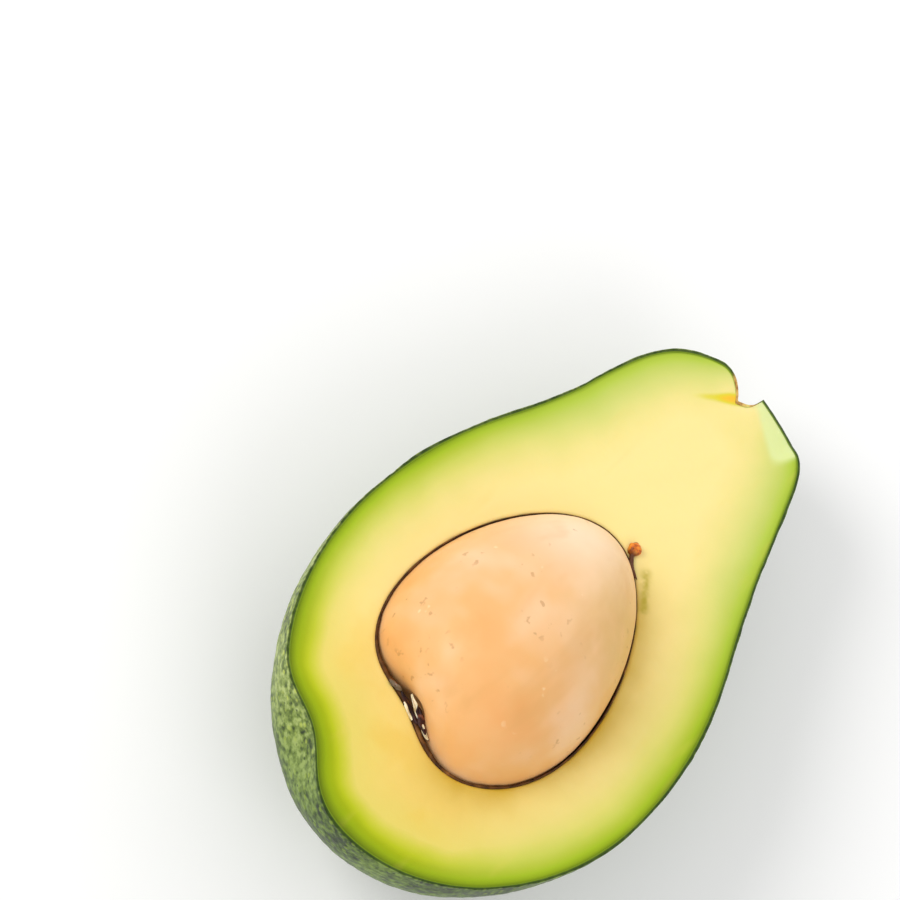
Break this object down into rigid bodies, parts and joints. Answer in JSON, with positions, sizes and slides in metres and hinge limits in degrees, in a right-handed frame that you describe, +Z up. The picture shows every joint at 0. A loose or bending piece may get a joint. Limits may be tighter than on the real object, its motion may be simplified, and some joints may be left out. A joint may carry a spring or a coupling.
{
  "type": "halved avocado",
  "caption": "Half of a pear-shaped green-skinned avocado with its seed in place, lying on its rounded back with the cut face up",
  "frame": {"origin": "middle of the footprint, on the surface that the half rests on", "axes": "+X towards the stem end, +Z up, +Y to the left when looking towards the stem end; the cut face leans 7 degrees down towards the stem end"},
  "size_m": [0.1212, 0.0738, 0.0515],
  "materials": {
    "peel": "dark green pebbled skin, waxy half gloss, speckled with small pale green dots",
    "flesh": "moist buttery flesh, pale yellow inside shading to lime green under the skin",
    "seed_coat": "thin dry brown papery film, torn into small flakes at its edge",
    "seed": "smooth peach-tan, half gloss, with faint darker mottling and specks"
  },
  "bodies": {
    "root": {"peel": "peel", "flesh": "flesh", "seed_coat": "seed_coat", "seed": "seed"}
  },
  "joints": []
}
